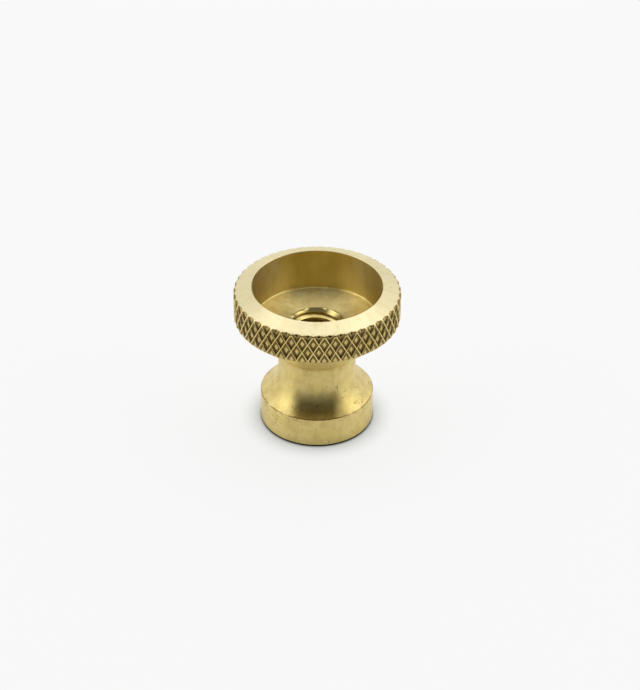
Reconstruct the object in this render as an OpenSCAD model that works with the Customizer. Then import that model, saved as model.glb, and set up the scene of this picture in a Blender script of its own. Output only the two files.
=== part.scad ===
// Knurled knob, turned in one piece from brass bar.
// A cup-shaped head with a female diamond knurl stands on a slim neck and a flared foot.
// A tapped hole runs through the knob from the floor of the cup to the underside of the foot.
// The knob stands on its foot, centred on the Z axis. All lengths are in millimetres.

/* [Overall] */
// Height from the underside of the foot to the lip of the cup
height = 23.9; // [22:0.1:60]

/* [Head] */
// Diameter over the ridges of the knurl
head_d = 25.4; // [24:0.1:60]
// Height of the knurled band, from the edge of the underside to the edge of the rim
band_h = 4.55; // [3:0.05:9]
// Fall of the rim's face from the lip outwards, in degrees from level
rim_slope = 18; // [0:1:30]
// Width and height of the bevel between the rim's face and the band
rim_bevel = 0.34; // [0.32:0.02:0.6]
// Slope of the head's underside, in degrees from level
under_slope = 42; // [30:1:45]
// Radius where the underside runs into the neck
under_fillet = 2; // [0.5:0.1:4]

/* [Knurl] */
// Ridges that lean each way, counted round the head
ridge_count = 48; // [30:1:60]
// Lean of the ridges from the knob's axis, in degrees
ridge_lean = 30; // [25:1:40]
// Distance from the edge of the underside to the lowest row of crossings
edge_gap = 0.07; // [0.05:0.01:0.14]
// Width of the flat land along the top of a ridge
ridge_w = 0.14; // [0.08:0.02:0.3]
// Depth of the pits between the ridges
pit_depth = 0.3; // [0.2:0.02:0.5]
// Width of a pit's sloping wall, measured across the ridge
pit_wall = 0.28; // [0.16:0.02:0.36]
// Turn of the pattern round the head, in degrees
knurl_turn = 1.35; // [0.6:0.15:3]

/* [Cup] */
// Diameter of the cup
cup_d = 19.85; // [16:0.05:21]
// Depth of the cup from its lip
cup_depth = 6.7; // [3:0.1:7]
// Radius between the cup's wall and its floor
cup_fillet = 0.35; // [0.1:0.05:1]
// Chamfer that takes the sharpness off the lip
lip_break = 0.05; // [0.05:0.05:0.5]

/* [Neck and foot] */
// Diameter of the neck
neck_d = 12; // [11:0.1:14]
// Diameter of the foot
foot_d = 17.5; // [15:0.1:19]
// Height of the foot's straight side
foot_h = 5; // [2:0.1:6]
// Chamfer round the underside of the foot
foot_break = 0.3; // [0.05:0.05:0.8]
// Radius of the cove that runs from the foot's edge into the neck
cove_r = 5.5; // [4:0.1:7]

/* [Tapped hole] */
// Nominal diameter of the thread
thread_d = 8; // [5:0.5:8]
// Pitch of the thread
thread_pitch = 1.25; // [0.8:0.05:1.5]
// Diameter of the countersink at each end of the hole
countersink_d = 8.4; // [8.2:0.1:9.5]

/* [Hidden] */
$fn = 128;

// A cut reaches this far past the face that it opens, and the blank stands this proud of the knurl.
overcut = 1;
// The neck keeps at least this much straight side between its two fillets.
straight_neck = 0.2;

head_r = head_d / 2;
neck_r = neck_d / 2;
foot_r = foot_d / 2;
cup_r = cup_d / 2;
countersink_r = countersink_d / 2;

// A metric thread's crests stand this share of the pitch inside its nominal diameter.
crest_share = 1.0825;
bore_r = (thread_d - crest_share * thread_pitch) / 2;

// The lip is the highest circle of the knob, and the rim's face falls away from it.
lip_r = cup_r + lip_break;
rim_r = head_r - rim_bevel;
rim_z = height - (rim_r - lip_r) * tan(rim_slope);
band_z = rim_z - band_h;
floor_z = height - cup_depth;

// Height of the head's underside at radius r
function under_z(r) = band_z + (r - head_r) * tan(under_slope);

// The underside's fillet touches both the neck and the slope.
under_arc_r = neck_r + under_fillet;
under_arc_z = under_z(under_arc_r) - under_fillet / cos(under_slope);

// The cove ends at the foot's edge and touches the neck, as far up as the neck has room for it.
foot_step = foot_r - neck_r;
neck_room = under_arc_z - straight_neck - foot_h;
cove_arc_r = min(cove_r, (pow(foot_step, 2) + pow(neck_room, 2)) / (2 * foot_step));
cove_z = foot_h + sqrt(pow(cove_arc_r, 2) - pow(cove_arc_r - foot_step, 2));

// The bar is larger than the finished head, so that the knurl alone makes the outside.
bar_r = head_r + overcut;

// Ridges cross at the corners of diamonds, so their lean sets the rows of crossings.
ridge_pitch = PI * head_d / ridge_count;
row_step = ridge_pitch / 2 / tan(ridge_lean);
// Distance from a diamond's centre to its sides
diamond_in_r = ridge_pitch / 2 * cos(ridge_lean);
// The die's pattern runs on past the rim, and as far down as the underside cuts into the pits.
rows_below = 1 + ceil((edge_gap + pit_depth * tan(under_slope)) / row_step);
rows_above = 1 + ceil((band_h - edge_gap) / row_step);
row_count = rows_below + rows_above;

// Section of the turned knob before its knurl, cup and hole are cut
module turned_section() {
    difference() {
        polygon([
            [0, 0],
            [foot_r - foot_break, 0],
            [foot_r, foot_break],
            [foot_r, foot_h],
            [neck_r, cove_z],
            [neck_r, under_arc_z],
            [under_arc_r - under_fillet * sin(under_slope), under_arc_z + under_fillet * cos(under_slope)],
            [bar_r, under_z(bar_r)],
            [bar_r, rim_z - (bar_r - rim_r)],
            [rim_r, rim_z],
            [lip_r, height],
            [0, height]
        ]);
        intersection() {
            translate([neck_r + cove_arc_r, cove_z]) circle(cove_arc_r);
            translate([neck_r, 0]) square([cove_arc_r, cove_z]);
        }
        translate([under_arc_r, under_arc_z]) circle(under_fillet);
    }
}

// Section of what is bored out for the cup, with its rounded corner and its broken lip
module cup_section() {
    translate([0, floor_z]) square([cup_r - cup_fillet, cup_depth + overcut]);
    translate([0, floor_z + cup_fillet]) square([cup_r, cup_depth + overcut - cup_fillet]);
    translate([cup_r - cup_fillet, floor_z + cup_fillet]) circle(cup_fillet);
    polygon([
        [0, height - lip_break],
        [cup_r, height - lip_break],
        [lip_r + overcut, height + overcut],
        [0, height + overcut]
    ]);
}

// Section of the hole at its tapping size, with a countersink of 90 degrees at each end
module hole_section() {
    sink = countersink_r - bore_r;
    polygon([
        [0, -overcut],
        [countersink_r + overcut, -overcut],
        [bore_r, sink],
        [bore_r, floor_z - sink],
        [countersink_r + overcut, floor_z + overcut],
        [0, floor_z + overcut]
    ]);
}

// Point on a cylinder of radius r, where turn counts ridge pitches and row counts crossings upwards
function on_head(r, turn, row) = let (a = turn * 360 / ridge_count)
    [r * cos(a), r * sin(a), band_z + edge_gap + (row - rows_below) * row_step];

// Every second row of crossings is half a pitch further round.
function half_turn(row) = (row % 2) / 2;

// Corners of the diamond centred on a row, drawn in to a share of its size
function diamond(r, row, turn, share) = [
    for (k = [[-1, 0], [0, 1], [1, 0], [0, -1]])
        on_head(r, turn + half_turn(row) + (1 + share * k[0]) / 2, row + share * k[1])
];

// The knurling die is a ring whose bore carries the pattern: what it leaves standing is the knurled head.
module knurling_die() {
    n = ridge_count;
    land_share = 1 - ridge_w / 2 / diamond_in_r;
    floor_share = land_share - pit_wall / diamond_in_r;

    crossings = [for (row = [0:row_count]) for (i = [0:n - 1]) on_head(head_r, i + half_turn(row), row)];
    pits = [for (row = [1:row_count - 1]) for (i = [0:n - 1]) each concat(
        diamond(head_r, row, i, land_share),
        diamond(head_r - pit_depth, row, i, floor_share)
    )];
    outside = [for (row = [0, row_count]) for (i = [0:n - 1]) on_head(bar_r + overcut, i + half_turn(row), row)];

    // Numbers of the points in the lists above
    function crossing(row, i) = row * n + i % n;
    function pit(row, i, corner) = len(crossings) + ((row - 1) * n + i) * 8 + corner;
    function outer(top, i) = len(crossings) + len(pits) + top * n + i % n;
    function corners(row, i) = let (next = i + row % 2)
        [crossing(row, i), crossing(row + 1, next), crossing(row, i + 1), crossing(row - 1, next)];

    lands = [for (row = [1:row_count - 1]) for (i = [0:n - 1]) for (k = [0:3])
        let (c = corners(row, i), k2 = (k + 1) % 4)
        each [[c[k], pit(row, i, k), c[k2]], [c[k2], pit(row, i, k), pit(row, i, k2)]]];
    walls = [for (row = [1:row_count - 1]) for (i = [0:n - 1]) for (k = [0:3])
        let (k2 = (k + 1) % 4)
        each [[pit(row, i, k), pit(row, i, k + 4), pit(row, i, k2)],
              [pit(row, i, k2), pit(row, i, k + 4), pit(row, i, k2 + 4)]]];
    floors = [for (row = [1:row_count - 1]) for (i = [0:n - 1])
        each [[pit(row, i, 4), pit(row, i, 7), pit(row, i, 5)], [pit(row, i, 5), pit(row, i, 7), pit(row, i, 6)]]];
    bottom_gaps = [for (i = [0:n - 1]) [crossing(0, i), crossing(0, i + 1), crossing(1, i)]];
    top_gaps = [for (i = [0:n - 1])
        [crossing(row_count, i + 1), crossing(row_count, i), crossing(row_count - 1, i + row_count % 2)]];
    ends = [for (top = [0, 1]) for (i = [0:n - 1])
        let (a = crossing(top * row_count, i), b = crossing(top * row_count, i + 1))
        each (top == 1
            ? [[a, b, outer(1, i)], [b, outer(1, i + 1), outer(1, i)]]
            : [[a, outer(0, i), b], [b, outer(0, i), outer(0, i + 1)]])];
    sides = [for (i = [0:n - 1])
        each [[outer(0, i), outer(1, i), outer(0, i + 1)], [outer(0, i + 1), outer(1, i), outer(1, i + 1)]]];

    polyhedron(
        points = concat(crossings, pits, outside),
        faces = concat(lands, walls, floors, bottom_gaps, top_gaps, ends, sides)
    );
}

// The whole knob: turned, bored and countersunk on one axis, then knurled
module knob() {
    color("#c8b06a")
    difference() {
        rotate_extrude() difference() {
            turned_section();
            cup_section();
            hole_section();
        }
        rotate(knurl_turn) knurling_die();
    }
}

knob();
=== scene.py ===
# %% [markdown]
# # A knurled brass knob
# The knob is one piece of brass, turned from bar on a lathe. The engineered solid already has its sizes,
# so this lesson loads it, models the finish that the solid leaves out (the rounded knurl, the thread,
# the broken edges), gives it a brass that has been cut and handled, and sets it on a pale studio floor.

# %% Load the engineered knob
import math

import bmesh
import bpy
from mathutils import Matrix, Vector


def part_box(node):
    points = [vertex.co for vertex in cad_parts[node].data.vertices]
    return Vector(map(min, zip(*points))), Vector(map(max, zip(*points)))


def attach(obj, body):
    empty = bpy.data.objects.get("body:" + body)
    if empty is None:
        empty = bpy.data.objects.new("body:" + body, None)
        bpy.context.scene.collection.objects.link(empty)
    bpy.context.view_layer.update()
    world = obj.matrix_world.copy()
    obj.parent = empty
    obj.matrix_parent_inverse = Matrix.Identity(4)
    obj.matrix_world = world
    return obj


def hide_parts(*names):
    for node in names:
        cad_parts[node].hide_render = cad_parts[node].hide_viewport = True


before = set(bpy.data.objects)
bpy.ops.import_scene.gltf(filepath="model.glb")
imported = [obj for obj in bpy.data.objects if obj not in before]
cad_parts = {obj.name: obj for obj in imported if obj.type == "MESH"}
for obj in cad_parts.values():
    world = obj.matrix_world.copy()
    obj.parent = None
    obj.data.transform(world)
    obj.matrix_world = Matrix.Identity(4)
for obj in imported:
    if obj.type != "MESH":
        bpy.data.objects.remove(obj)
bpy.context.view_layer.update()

low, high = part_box("knob")
print("knob box in mm:", [round(1000 * side, 2) for side in high - low])

# %% [markdown]
# ## Sizes
# Everything is in metres. The height and the head's radius come from the engineered solid, and the
# other sizes are those of the turned section: a lathe drawing gives radii and heights, so the values
# here are kept the same way. A turner breaks the sharp edges, by three tenths of a millimetre at the
# foot and only a twentieth at the lip. The cup's floor falls a little from its wall to the hole. The
# knurl runs out through the rim's edge as notches, so that edge has a radius and a height of its own.

# %% Sizes of the turned section
MM = 0.001
height = high.z - low.z
head_r = (high.x - low.x) / 2
lip_break = 0.05 * MM
foot_break = 0.3 * MM

cup_r = 9.925 * MM
floor_z = height - 6.7 * MM
cup_fillet = 0.35 * MM
floor_rise = math.radians(-1.2)
lip_r = cup_r + lip_break

rim_slope = math.radians(18)
rim_r = head_r - 0.34 * MM
rim_z = height - (rim_r - lip_r) * math.tan(rim_slope)
band_z = rim_z - 4.55 * MM
under_slope = math.radians(42)
under_fillet = 2.0 * MM

neck_r = 6 * MM
foot_r = 8.75 * MM
foot_h = 5 * MM
cove_r = 5.5 * MM
cove_sweep = math.acos(1 - (foot_r - neck_r) / cove_r)
cove_z = foot_h + cove_r * math.sin(cove_sweep)

edge_r = head_r - 0.2 * MM
edge_z = height - (edge_r - lip_r) * math.tan(rim_slope)
notch_z = edge_z - 0.55 * MM

under_arc_r = neck_r + under_fillet
under_arc_z = (band_z + (under_arc_r - head_r) * math.tan(under_slope)
               - under_fillet / math.cos(under_slope))
print("lip", round(lip_r / MM, 2), "rim edge", round(rim_z / MM, 2), "band foot", round(band_z / MM, 2))

# %% [markdown]
# ## The camera
# The knob is seen from the front and about 35 degrees above, with a long lens from close by, which keeps
# the foot nearly as wide as it is while the cup still opens towards the viewer. The camera is placed
# first, because everything that follows is judged through it.

# %% Camera
view_elevation = math.radians(34.536)
view_distance = 287.07 * MM
aim = Vector((0.457, 0.921, 12.339)) * MM
roll = math.radians(0.334)

camera = bpy.data.objects.new("camera", bpy.data.cameras.new("camera"))
bpy.context.scene.collection.objects.link(camera)
camera.data.lens = 104.35
camera.data.sensor_width = 36
camera.data.sensor_fit = "HORIZONTAL"
camera.data.clip_start = 0.01
camera.location = aim + view_distance * Vector((0, -math.cos(view_elevation), math.sin(view_elevation)))
camera.rotation_euler = (math.pi / 2 - view_elevation, 0, 0)
camera.rotation_euler.rotate_axis("Z", roll)
bpy.context.scene.camera = camera
print("camera at", [round(c / MM, 1) for c in camera.location])

# %% [markdown]
# ## The knurl as a pattern
# A knurling wheel presses two families of ridges round the head. They lean opposite ways and cross at
# the corners of diamonds, and what lies between four ridges is a pit. The pattern could be drawn
# diamond by diamond, but it is easier to count along each family: where a count is whole, a ridge
# passes. The distance to the nearest ridge of either family then gives the depth of the cut. A pit's
# floor is crowned, and near the rim's edge the pits open into cone-shaped notches.

# %% Knurl: counts and sizes
ridge_count = 48
crossing_rows = 4
ridge_lean = math.radians(30)
ridge_pitch = 2 * math.pi * head_r / ridge_count
row_step = ridge_pitch / 2 / math.tan(ridge_lean)
lowest_crossing = band_z + 0.07 * MM
across_ridges = ridge_pitch * math.cos(ridge_lean)
knurl_turn = 1.35 / 360

land_w = 0.06 * MM
wall_w = 0.26 * MM
straight_wall = 0.4
groove_depth = 0.34 * MM
crown_height = 0.14 * MM
crown_w = 0.20 * MM
notch_depth = 0.45 * MM
steps_per_ridge = 20
columns = ridge_count * steps_per_ridge
print("rows of crossings", round(row_step / MM, 2), "mm apart,", columns, "columns round the knob")


# %% Knurl: where a point lies among the ridges
def ridge_counts(turn, z):
    """How many ridges of each family have been passed at a turn (1 is once round) and a height."""
    along = (turn - knurl_turn) * ridge_count
    up = (z - lowest_crossing) / (2 * row_step)
    return along + up, along - up


def to_whole(count):
    """Distance to the nearest whole count, from 0 on a ridge to 0.5 in the middle between two."""
    return abs(count - round(count))


def smooth(share):
    """Runs from 0 to 1 as the share does, without a corner at either end."""
    share = min(max(share, 0.0), 1.0)
    return share * share * (3 - 2 * share)


def cut_depth(turn, z):
    """Depth below the ridges: down a wall into a groove, then up to the crowned middle of the pit."""
    a, b = ridge_counts(turn, z)
    off_ridge = min(to_whole(a), to_whole(b)) * across_ridges
    down = (off_ridge - land_w / 2) / wall_w
    wall = straight_wall * min(max(down, 0), 1) + (1 - straight_wall) * smooth(down)
    at_edge = smooth((z - notch_z) / (edge_z - notch_z))
    crown = crown_height * smooth((off_ridge - land_w / 2 - wall_w) / crown_w)
    pit = groove_depth * wall - crown
    notch = notch_depth * smooth(2 * off_ridge / across_ridges)
    return pit * (1 - at_edge) + notch * at_edge


# %% [markdown]
# ## The outside, spun from one outline
# The real knob is shaped by a tool that follows an outline while the bar turns. Blender's spin does the
# same: a chain of points is carried once round the axis. The outline runs from the floor of the cup,
# over the lip, down the knurled band and the neck, and under the foot. Round stretches are arcs.

# %% Outline
floor_ring_r = 5.2 * MM


def arc(r, z, radius, start, end, steps):
    """Points on an arc about (r, z). Angles are in degrees from the outward direction."""
    angles = [math.radians(start + (end - start) * i / steps) for i in range(steps + 1)]
    return [(r + radius * math.cos(a), z + radius * math.sin(a)) for a in angles]


def rim_height(r):
    """Height of the rim's sloping face at a radius."""
    return height - (r - lip_r) * math.tan(rim_slope)


def under_height(r):
    """Height of the head's underside at a radius."""
    return band_z + (r - head_r) * math.tan(under_slope)


half_steps = steps_per_ridge // 2
band_rows = [lowest_crossing + i * row_step / half_steps
             for i in range((crossing_rows - 1) * half_steps, -1, -1)]
shoulder_r = head_r - 0.8 * MM
round_sweep = math.radians(65)
round_r = (head_r - edge_r) / (1 - math.cos(round_sweep))
round_z = edge_z - round_r * math.sin(round_sweep)


def blank_r(z):
    """Radius of the head before knurling: straight, then rounded over to the rim's edge."""
    up = max(z - round_z, 0) / round_r
    return head_r - round_r * (1 - math.sqrt(1 - min(up, 1) ** 2))


outline = [(floor_ring_r, floor_z)]
outline += arc(cup_r - cup_fillet, floor_z + cup_fillet, cup_fillet, -90, 0, 5)
outline += [(cup_r, height - lip_break), (lip_r, height), (shoulder_r, rim_height(shoulder_r))]
outline += [(head_r, z) for z in [edge_z] + band_rows + [band_z]]
outline += [(shoulder_r, under_height(shoulder_r))]
outline += arc(under_arc_r, under_arc_z, under_fillet, 90 + math.degrees(under_slope), 180, 8)
outline += arc(neck_r + cove_r, cove_z, cove_r, 180, 180 + math.degrees(cove_sweep), 20)
outline += [(foot_r, foot_break), (foot_r - foot_break, 0), (floor_ring_r, 0)]
print(len(outline), "points in the outline")

# %% Spin the outline
shape = bmesh.new()
start = 2 * math.pi * knurl_turn
chain = [shape.verts.new((r * math.cos(start), r * math.sin(start), z)) for r, z in outline]
edges = [shape.edges.new(pair) for pair in zip(chain, chain[1:])]
bmesh.ops.spin(shape, geom=chain + edges, cent=(0, 0, 0), axis=(0, 0, 1), dvec=(0, 0, 0),
               angle=2 * math.pi, steps=columns, use_merge=True)
bmesh.ops.remove_doubles(shape, verts=shape.verts, dist=0.001 * MM)
print(len(shape.faces), "faces after the spin")

# %% [markdown]
# ## Pressing the knurl in
# The band's quads are as tall as they are wide along the ridges, so every ridge runs corner to corner
# through them. Before pressing, the points are drawn towards the ridges, where the form changes fast.
# Each quad is then split along its own ridge, and each point is pressed in by the depth of the cut.


# %% Knurl the band
spacing_at_ridge = 0.35


def drawn_in(count):
    """Moves a count towards the nearest whole one, and leaves wholes and halves where they are."""
    whole = round(count)
    off = 2 * abs(count - whole)
    moved = 0.5 * off * (spacing_at_ridge + (1 - spacing_at_ridge) * off)
    return whole + math.copysign(moved, count - whole)


def turn_of(vertex):
    """How far round the axis a vertex lies, where 1 is once round."""
    return math.atan2(vertex.co.y, vertex.co.x) / (2 * math.pi)


def place(vertex, turn, r, z):
    """Moves a vertex to a turn, a radius and a height."""
    vertex.co = (r * math.cos(2 * math.pi * turn), r * math.sin(2 * math.pi * turn), z)


band = [v for v in shape.verts if v.co.xy.length > head_r - 0.01 * MM]
counts = {v: ridge_counts(turn_of(v), v.co.z) for v in band}
tops = {v for v in band if v.co.z > edge_z - 0.001 * MM}
feet = {v for v in band if v.co.z < band_z + 0.001 * MM}


def same(a, b):
    return abs(a - b) < 0.001


def split_along_ridge(face):
    """Splits a quad of the band along the diagonal that follows its nearest ridge."""
    corners = list(face.verts)
    a = sum(to_whole(counts[v][0]) for v in corners)
    b = sum(to_whole(counts[v][1]) for v in corners)
    family = 0 if a < b else 1
    for i in (0, 1):
        one, other = corners[i], corners[i + 2]
        if same(to_whole(counts[one][family]), to_whole(counts[other][family])):
            if same(abs(counts[one][family] - counts[other][family]) % ridge_count, 0):
                bmesh.utils.face_split(face, one, other)
                return


in_band = set(band)
band_faces = [f for f in shape.faces if all(v in in_band for v in f.verts)]
for face in band_faces:
    split_along_ridge(face)

for v in band:
    turn, z = turn_of(v), v.co.z
    if v in tops or v in feet:
        row = lowest_crossing if v in feet else lowest_crossing + (crossing_rows - 1) * row_step
        a, b = (drawn_in(c) for c in ridge_counts(turn, row))
        turn = (a + b) / (2 * ridge_count) + knurl_turn
    else:
        a, b = (drawn_in(c) for c in counts[v])
        turn = (a + b) / (2 * ridge_count) + knurl_turn
        z = lowest_crossing + (a - b) * row_step
    r = min(head_r - cut_depth(turn, z), blank_r(z))
    if v in tops:
        z = rim_height(r)
    if v in feet:
        z = under_height(r)
    place(v, turn, r, z)
print(len(band), "points in the band,", len(band_faces), "quads split")

# %% [markdown]
# ## The tapped hole
# The hole is tapped M8 by 1.25. A tap leaves one helical groove, and Blender's spin makes it when each
# step also lifts the outline a little: one pitch of the thread's profile, carried round and up. The
# profile lists a radius and a height, as a share of the pitch. The countersinks at both ends are then
# cut by moving every point at least as far out as their cones.

# %% Thread sizes
thread_r = 4 * MM
pitch = 1.25 * MM
thread_height = 1.0825
crest_r = thread_r - thread_height * pitch / 2
sink_r = 4.2 * MM
columns_in_hole = 96
pitches_below = 1.8
turns = math.ceil((floor_z + pitch) / pitch) + 1
profile = [(crest_r, 0.0), (crest_r, 1 / 8), (crest_r, 1 / 4), (crest_r + (thread_r - crest_r) / 3, 0.354),
           (crest_r + (thread_r - crest_r) * 2 / 3, 0.458), (thread_r, 0.5625), (thread_r, 0.6875),
           (crest_r + (thread_r - crest_r) * 2 / 3, 0.7917), (crest_r + (thread_r - crest_r) / 3, 0.8958),
           (crest_r, 1.0)]

# %% Spin the thread and cut its ends
hole = bmesh.new()
chain = [hole.verts.new((r, 0, (share - pitches_below) * pitch)) for r, share in profile]
edges = [hole.edges.new(pair) for pair in zip(chain, chain[1:])]
bmesh.ops.spin(hole, geom=chain + edges, cent=(0, 0, 0), axis=(0, 0, 1), angle=2 * math.pi * turns,
               dvec=(0, 0, pitch / columns_in_hole), steps=turns * columns_in_hole, use_merge=False)
bmesh.ops.remove_doubles(hole, verts=hole.verts, dist=0.001 * MM)
for z, outward in ((floor_z, 1), (0, -1)):
    bmesh.ops.bisect_plane(hole, geom=hole.verts[:] + hole.edges[:] + hole.faces[:], dist=0.0001 * MM,
                           plane_co=(0, 0, z), plane_no=(0, 0, outward), clear_outer=True)
for v in hole.verts:
    to_end = min(floor_z - v.co.z, v.co.z)
    r = max(v.co.xy.length, sink_r - to_end)
    place(v, turn_of(v), r, v.co.z)
print(len(hole.faces), "faces in the hole, z from", round(min(v.co.z for v in hole.verts) / MM, 3))

# %% [markdown]
# ## One skin
# The outside and the hole are cut from the same bar, so they are one skin here too. Both have open
# rings in the floor of the cup and under the foot, and a bridge between each pair of rings closes them.
# The floor's points are then lowered towards the hole, which gives it a very slight dish. The count of
# open edges shows that the skin is closed.

# %% Join the hole to the outside
hole_mesh = bpy.data.meshes.new("hole")
hole.to_mesh(hole_mesh)
hole.free()
shape.from_mesh(hole_mesh)
bpy.data.meshes.remove(hole_mesh)
for z in (floor_z, 0):
    loops = [e for e in shape.edges
             if e.is_boundary and all(abs(v.co.z - z) < 0.001 * MM for v in e.verts)]
    made = bmesh.ops.bridge_loops(shape, edges=loops)
    print("bridged", len(loops), "edges with", len(made["faces"]), "faces")
for v in shape.verts:
    r = v.co.xy.length
    if abs(v.co.z - floor_z) < 0.001 * MM and r < cup_r:
        v.co.z += (cup_r - cup_fillet - r) * math.tan(floor_rise)
bmesh.ops.recalc_face_normals(shape, faces=shape.faces)
print("open edges:", sum(e.is_boundary for e in shape.edges), "of", len(shape.edges))

# %% [markdown]
# ## From a working mesh to an object
# The turned faces should look round and the cut edges crisp. Smooth shading does the first, and edges
# that turn by more than the sharp angle are marked so that the shading breaks there. The object then
# takes the place of the engineered solid.

# %% Make the knob's object
sharp_angle = math.radians(32)
knob_mesh = bpy.data.meshes.new("knob_body")
shape.to_mesh(knob_mesh)
shape.free()
knob_mesh.shade_smooth()
knob_mesh.set_sharp_from_angle(angle=sharp_angle)
knob = bpy.data.objects.new("knob_body", knob_mesh)
bpy.context.scene.collection.objects.link(knob)
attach(knob, "root")
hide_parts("knob")
print("triangles:", sum(len(p.vertices) - 2 for p in knob_mesh.polygons))

# %% [markdown]
# ## A finish is a few expressions
# A material is a small network of nodes, and most of them only add, multiply or compare numbers. A class
# that wraps a socket and knows Python's operators lets the same network be written as plain arithmetic.
# Every other kind of node is added by one method, which is told its settings first and its inputs next.


# %% A wire that does arithmetic
class Wire:
    """One number or vector on its way through a finish. An operator on it adds a Math node."""

    def __init__(self, finish, socket):
        self.finish, self.socket = finish, socket

    def __add__(self, other):
        return self.finish.math("ADD", self, other)

    def __radd__(self, other):
        return self.finish.math("ADD", other, self)

    def __sub__(self, other):
        return self.finish.math("SUBTRACT", self, other)

    def __rsub__(self, other):
        return self.finish.math("SUBTRACT", other, self)

    def __mul__(self, other):
        return self.finish.math("MULTIPLY", self, other)

    def __rmul__(self, other):
        return self.finish.math("MULTIPLY", other, self)

    def __truediv__(self, other):
        return self.finish.math("DIVIDE", self, other)

    def __abs__(self):
        return self.finish.math("ABSOLUTE", self)


class Finish:
    """A material, built as expressions round its Principled shader."""

    def __init__(self, name):
        self.material = bpy.data.materials.new(name)
        self.material.use_nodes = True
        self.nodes, self.links = self.material.node_tree.nodes, self.material.node_tree.links
        self.surface = self.nodes["Principled BSDF"]

    def add(self, kind, settings=None, inputs=None, out=0):
        node = self.nodes.new(kind)
        for name, value in (settings or {}).items():
            setattr(node, name, value)
        for name, value in (inputs or {}).items():
            self.feed(node.inputs[name], value)
        return Wire(self, node.outputs[out])

    def feed(self, socket, value):
        if isinstance(value, Wire):
            self.links.new(value.socket, socket)
        else:
            socket.default_value = value

    def math(self, operation, *values):
        return self.add("ShaderNodeMath", {"operation": operation}, dict(enumerate(values)))

    def blend(self, share, plain, other):
        """Mixes two colours: plain where the share is 0, the other where it is 1."""
        return self.add("ShaderNodeMix", {"data_type": "RGBA", "clamp_factor": True},
                        {"Factor": share, "A": plain, "B": other}, "Result")

    def ramp(self, value, start, end):
        """Runs smoothly from 0 to 1 as the value goes from start to end."""
        return self.add("ShaderNodeMapRange", {"interpolation_type": "SMOOTHSTEP"},
                        {"Value": value, "From Min": start, "From Max": end})

    def noise(self, where, scale, detail=2.0, roughness=0.5):
        return self.add("ShaderNodeTexNoise", {}, {"Vector": where, "Scale": scale, "Detail": detail,
                                                   "Roughness": roughness})

    def vector(self, x, y, z):
        return self.add("ShaderNodeCombineXYZ", {}, {"X": x, "Y": y, "Z": z})

    def constants(self, **values):
        for name, value in values.items():
            self.surface.inputs[name.replace("_", " ")].default_value = value


# %% [markdown]
# ## Brass as it is turned
# Free-cutting brass is a pale yellow straight from the tool. The tool leaves rings round the knob, too
# fine to see singly, and they spread each reflection along the knob's axis: that is what the shader's
# anisotropy does. The first values say where a point lies: how far out, how high, and where round the
# knob. The edges that the masks start from are the model's own, in millimetres.

# %% Brass: where a point lies
brass = Finish("turned_brass")
spot = brass.add("ShaderNodeTexCoord", out="Object")
x, y, z = (Wire(brass, socket) for socket in
           brass.add("ShaderNodeSeparateXYZ", {}, {"Vector": spot}).socket.node.outputs)
out_mm = brass.math("SQRT", x * x + y * y) / MM
up_mm = z / MM
turn = brass.math("ARCTAN2", y, x) / (2 * math.pi)
spot_mm = brass.add("ShaderNodeVectorMath", {"operation": "SCALE"}, {"Vector": spot, "Scale": 1 / MM})
head_out, cup_out, foot_out = head_r / MM, cup_r / MM, foot_r / MM
edge_up, band_up, floor_up, foot_up = edge_z / MM, band_z / MM, floor_z / MM, foot_h / MM
bevel_up = foot_break / MM
print("head", round(head_out, 2), "cup", round(cup_out, 2), "foot", round(foot_out, 2), "mm out")

# %% [markdown]
# ## Ridges left bright, pits painted dark
# The ridges keep the plain brass, while the walls of the pits and the notches at the rim are painted dark:
# painted shade of the recesses, with some dirt mottled into the pits' middles.
# The finish counts the ridges exactly as the model does, so its masks fall on the real walls. Each
# ramp names where its mask starts and where it is full.

# %% Brass: masks for the knurl
along = (turn - knurl_turn) * ridge_count
rise = (up_mm - lowest_crossing / MM) / (2 * row_step / MM)
families = [along + rise, along - rise]
off_ridge = brass.math("MINIMUM", *(abs(count - brass.math("ROUND", count)) for count in families))
off_mm = off_ridge * (across_ridges / MM)
knurled = (brass.ramp(out_mm, head_out - 0.85, head_out - 0.70)
           * brass.ramp(up_mm, edge_up + 0.06, edge_up) * brass.ramp(up_mm, band_up - 0.45, band_up - 0.25))
groove = brass.ramp(off_mm, 0.05, 0.15) * brass.ramp(off_mm, 0.52, 0.34) * knurled
pit_middle = brass.ramp(off_mm, 0.34, 0.52) * knurled
rim_face = brass.ramp(up_mm, edge_up - 0.02, edge_up + 0.02) * brass.ramp(
    out_mm, cup_out + 0.01, cup_out + 0.04)
print(len(brass.nodes), "nodes after the knurl's masks")
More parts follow.
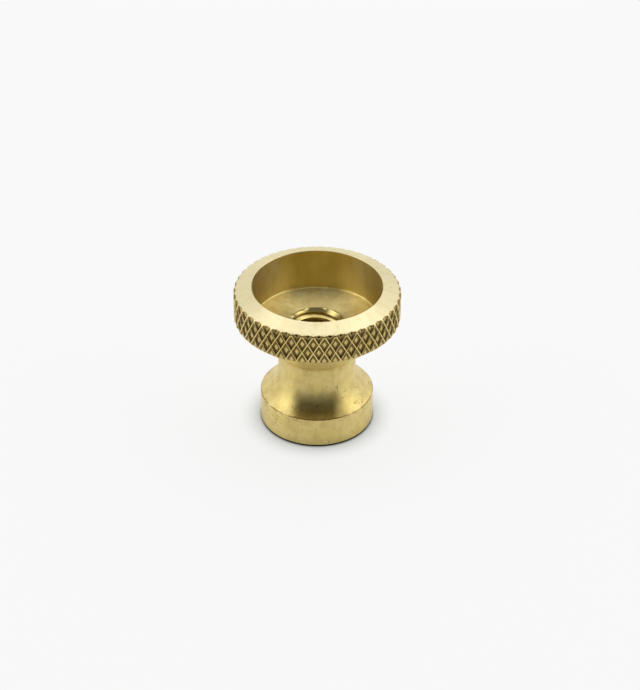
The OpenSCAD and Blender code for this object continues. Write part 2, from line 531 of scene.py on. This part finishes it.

# %% [markdown]
# ## Marks of use
# Brass that isn't lacquered darkens unevenly once it has been handled. Soft clouds of colour, small
# stains, hair-thin crooked marks below the head and streaks down the sides are each a noise with a
# threshold. A dark line along the foot's top edge is painted shade of a small broken edge that the mesh
# leaves sharp, and the foot's bottom bevel is masked for a painted contact shadow. Ramps on height and
# radius keep each in its place.

# %% Brass: turned rings, tarnish and stains
ring_place = brass.vector(out_mm, up_mm, turn * 2)
rings = brass.noise(ring_place, 7.0, 3.0, 0.6)
cloud = brass.noise(spot_mm, 0.35, 3.0)
specks = brass.noise(spot_mm, 2.2, 4.0, 0.65)
stain = brass.ramp(specks, 0.63, 0.72) * 0.45
patches = brass.ramp(cloud, 0.35, 0.65)
swell = brass.noise(spot_mm, 0.7, 2.0)
wander = brass.noise(spot_mm, 0.42, 3.0, 0.55)
worn_places = brass.noise(spot_mm, 0.55, 2.0)
scratches = (brass.ramp(abs(wander - 0.5), 0.012, 0.0) * brass.ramp(worn_places, 0.50, 0.58)
             * brass.ramp(out_mm, 9.5, 9.0) * brass.ramp(up_mm, floor_up - 1.7, floor_up - 2.2))
smudges = brass.ramp(brass.noise(spot_mm, 0.75, 5.0, 0.6), 0.42, 0.66) * brass.ramp(
    up_mm, band_up, band_up - 1)
streak_place = brass.vector(turn * 60, up_mm * 0.25, out_mm * 0.25)
streaks = brass.ramp(brass.noise(streak_place, 1.0, 3.0), 0.45, 0.75)
# A dark line is painted along the foot's top edge: painted shade of the small broken edge that the mesh
# leaves sharp, mottled by the clouds.
foot_line = (brass.ramp(abs(up_mm - foot_up), 0.11, 0.03)
             * brass.ramp(out_mm, foot_out - 0.12, foot_out - 0.04) * brass.ramp(cloud, 0.30, 0.50))
# The foot's bottom bevel, masked for a painted contact shadow.
foot_bevel_shade = brass.ramp(up_mm, bevel_up + 0.04, bevel_up - 0.06)
print(len(brass.nodes), "nodes after the marks of use")

# %% [markdown]
# ## The colours laid over each other
# The colours go on in layers: the metal, with a paler painted highlight on the rim face, its tarnish and
# marks, and then painted shade in the knurl's recesses, along the foot's top edge and on its bottom bevel,
# with some dirt in the pits. The turned faces take one shader with anisotropy. The knurl is pressed by a
# wheel and not turned, and the tap cuts across the tool's rings, so the knurl and partly the hole take a
# second shader without it.

# %% Brass: put together
cup_floor = (brass.ramp(out_mm, cup_out - 0.3, cup_out - 0.5) * brass.ramp(out_mm, 4.1, 4.3)
             * brass.ramp(up_mm, floor_up - 1.2, floor_up - 0.7)
             * brass.ramp(up_mm, floor_up + 0.4, floor_up + 0.2))
# The paler brass is a painted highlight: it goes on the rim face, and a quarter of it on the cup's floor.
pale_highlight = (0.78, 0.69, 0.42, 1)
body = (0.77, 0.63, 0.258, 1)
handled = (0.745, 0.60, 0.215, 1)
brown = (0.30, 0.20, 0.07, 1)
streaked = (0.56, 0.40, 0.12, 1)
smudged = (0.56, 0.42, 0.15, 1)
# Painted shade for the dark line on the foot's top edge.
edge_line_shade = (0.24, 0.12, 0.04, 1)
# Painted shade for the knurl's grooves and notches, also the colour of the dirt in the pits.
recess_shade_and_dirt = (0.26, 0.165, 0.055, 1)
# Painted contact shadow for the foot's bottom bevel.
bevel_shade = (0.09, 0.055, 0.02, 1)
colour = brass.blend(patches, body, handled)
colour = brass.blend(brass.math("MAXIMUM", rim_face, cup_floor * 0.25), colour, pale_highlight)
colour = brass.blend(brass.math("MAXIMUM", stain, scratches * 0.75), colour, brown)
colour = brass.blend(streaks * 0.22, colour, streaked)
colour = brass.blend(smudges * 0.45, colour, smudged)
colour = brass.blend(foot_line, colour, edge_line_shade)
# Painted shade in the knurl: the grooves and the notches at the rim's edge go dark brown, and the pits'
# middles take mottled dirt.
notches = (brass.ramp(up_mm, edge_up - 0.40, edge_up - 0.15) * brass.ramp(off_mm, 0.20, 0.45)
           * knurled)
pit_shade_and_dirt = groove * 0.85 + pit_middle * (specks * 0.7 + 0.05)
colour = brass.blend(brass.math("MAXIMUM", pit_shade_and_dirt, notches * 0.5), colour, recess_shade_and_dirt)
# A painted contact shadow darkens the foot's bottom bevel.
colour = brass.blend(foot_bevel_shade, colour, bevel_shade)
rough = 0.29 + rings * 0.08 + cloud * 0.05 + stain * 0.2 + scratches * 0.1 + cup_floor * 0.16
brass.feed(brass.surface.inputs["Base Color"], colour)
brass.feed(brass.surface.inputs["Roughness"], rough)
relief = brass.add("ShaderNodeBump", {}, {"Height": rings + swell * 30, "Strength": 0.25,
                                          "Distance": 0.004 * MM})
brass.feed(brass.surface.inputs["Normal"], relief)
brass.constants(Metallic=1, Anisotropic=0.88, Anisotropic_Rotation=0.25)

pressed = brass.add("ShaderNodeBsdfPrincipled", {}, {"Base Color": colour, "Roughness": 0.24 + groove * 0.3,
                                                     "Metallic": 1.0})
in_hole = brass.ramp(out_mm, 4.5, 4.3)
unturned = brass.math("MAXIMUM", knurled, in_hole * 0.65)
turned = Wire(brass, brass.surface.outputs[0])
both = brass.add("ShaderNodeMixShader", {}, {0: unturned, 1: turned, 2: pressed})
brass.feed(brass.nodes["Material Output"].inputs["Surface"], both)
knob_mesh.materials.append(brass.material)
print(len(brass.nodes), "nodes in the brass")

# %% [markdown]
# ## The floor and the room
# The knob stands on white paper in a white room. Polished metal shows its surroundings, so the room
# matters as much as the lamps. The paper itself is dark, so that it throws little light up at the
# knob, and a glow that only the camera, reflections and refractions see makes it white. A glow takes
# no shadow, so ambient occlusion paints a shadow into it beside the knob: over a few millimetres, and
# again tightly where the two touch. Where it is dimmed, the glow also turns a little yellow, a painted
# warm reflection of the brass.

# %% Floor
floor_mesh = bpy.data.meshes.new("floor")
flat = bmesh.new()
floor_half = 6
bmesh.ops.create_grid(flat, x_segments=1, y_segments=1, size=floor_half)
flat.to_mesh(floor_mesh)
flat.free()
floor = bpy.data.objects.new("floor", floor_mesh)
bpy.context.scene.collection.objects.link(floor)
paper = Finish("white_paper")
path = paper.add("ShaderNodeLightPath")
seen = paper.math("MAXIMUM", Wire(paper, path.socket.node.outputs["Is Camera Ray"]), paper.math(
    "MAXIMUM", Wire(paper, path.socket.node.outputs["Is Glossy Ray"]),
    Wire(paper, path.socket.node.outputs["Is Transmission Ray"])))
open_sky = paper.add("ShaderNodeAmbientOcclusion", {"samples": 8}, {"Distance": 3.8 * MM}, "AO")
contact = paper.add("ShaderNodeAmbientOcclusion", {"samples": 8}, {"Distance": 0.8 * MM}, "AO")
shade = 1 - open_sky
lit = (1 - shade * (0.5 + shade)) * paper.ramp(contact, 0.35, 0.8)
white = seen * lit
# Where the glow is dimmed its blue drops a little: a painted warm reflection of the brass on the paper.
glow = paper.vector(white, white, white * (lit * 0.12 + 0.88))
paper.feed(paper.surface.inputs["Emission Color"], glow)
paper_white = 0.13
paper_glow = 0.82
paper.constants(Base_Color=(paper_white, paper_white, paper_white, 1), Roughness=1.0,
                Specular_IOR_Level=0, Emission_Strength=paper_glow)
floor_mesh.materials.append(paper.material)
print("floor", 2 * floor_half, "m across,", len(paper.nodes), "nodes in the paper")

# %% [markdown]
# ## A black cloth behind the camera
# A polished thing in an all-white room looks flat, because everything it shows is equally bright. A
# studio hangs something dark where only the reflections find it. Here it is part of a large dome,
# spun from an arc, that the camera itself doesn't see.

# %% Black cloth behind the camera
cloth_r = 3.0
cloth_sweep = 125
cloth_mesh = bpy.data.meshes.new("black_cloth")
hung = bmesh.new()
chain = [hung.verts.new((cloth_r * math.cos(a), 0, cloth_r * math.sin(a)))
         for a in (math.radians(3 * i) for i in range(24))]
edges = [hung.edges.new(pair) for pair in zip(chain, chain[1:])]
bmesh.ops.spin(hung, geom=chain + edges, cent=(0, 0, 0), axis=(0, 0, 1), dvec=(0, 0, 0),
               angle=math.radians(cloth_sweep), steps=cloth_sweep // 5, use_merge=False)
bmesh.ops.rotate(hung, verts=hung.verts, cent=(0, 0, 0),
                 matrix=Matrix.Rotation(math.radians(-90 - cloth_sweep / 2), 3, "Z"))
hung.to_mesh(cloth_mesh)
hung.free()
cloth = bpy.data.objects.new("black_cloth", cloth_mesh)
bpy.context.scene.collection.objects.link(cloth)
cloth.visible_camera = False
black = Finish("black_cloth")
black.constants(Base_Color=(0.02, 0.02, 0.02, 1), Roughness=1.0, Specular_IOR_Level=0)
cloth_mesh.materials.append(black.material)
print(len(cloth_mesh.polygons), "faces in the cloth")

# %% [markdown]
# ## Room light and softboxes
# The room gives an even white light, and eleven softboxes of one size add to it: three on each side,
# three behind and two overhead. Their radiances differ, which is what models the round forms. They are
# placed by azimuth and elevation, as one would walk them round a table.

# %% Room light and lamps
room_light = 0.97
world = bpy.data.worlds.new("white_room")
bpy.context.scene.world = world
world.use_nodes = True
world.node_tree.nodes["Background"].inputs["Color"].default_value = (1, 1, 1, 1)
world.node_tree.nodes["Background"].inputs["Strength"].default_value = room_light


def softbox(name, azimuth, elevation, radiance):
    """A rectangular lamp that faces the knob. Azimuth 0 is the camera's side and 90 is the right."""
    wide, tall, distance = 0.92, 0.68, 1.5
    lamp = bpy.data.lights.new(name, "AREA")
    lamp.shape = "RECTANGLE"
    lamp.size, lamp.size_y = wide, tall
    lamp.energy = radiance * math.pi * wide * tall
    holder = bpy.data.objects.new(name, lamp)
    a, e = math.radians(azimuth - 90), math.radians(elevation)
    toward = Vector((math.cos(e) * math.cos(a), math.cos(e) * math.sin(a), math.sin(e)))
    holder.location = distance * toward
    holder.rotation_euler = toward.to_track_quat("Z", "Y").to_euler()
    holder.visible_camera = False
    bpy.context.scene.collection.objects.link(holder)


for name, azimuth, elevation, radiance in (
        ("left_front", -75, 34, 0.82), ("left_back", -100, 34, 0.26), ("left_high", -100, 58, 0.40),
        ("right_front", 75, 34, 0.46), ("right_back", 100, 34, 0.62), ("right_high", 100, 58, 0.25),
        ("back_left", -140, 58, 0.25), ("back_right", 140, 58, 0.45), ("back_low", 145, 34, 0.20),
        ("overhead_back", 180, 66, 0.66), ("overhead", 180, 82, 0.46)):
    softbox(name, azimuth, elevation, radiance)
print(len(bpy.data.lights), "softboxes")
bpy.context.scene.view_settings.view_transform = "Standard"
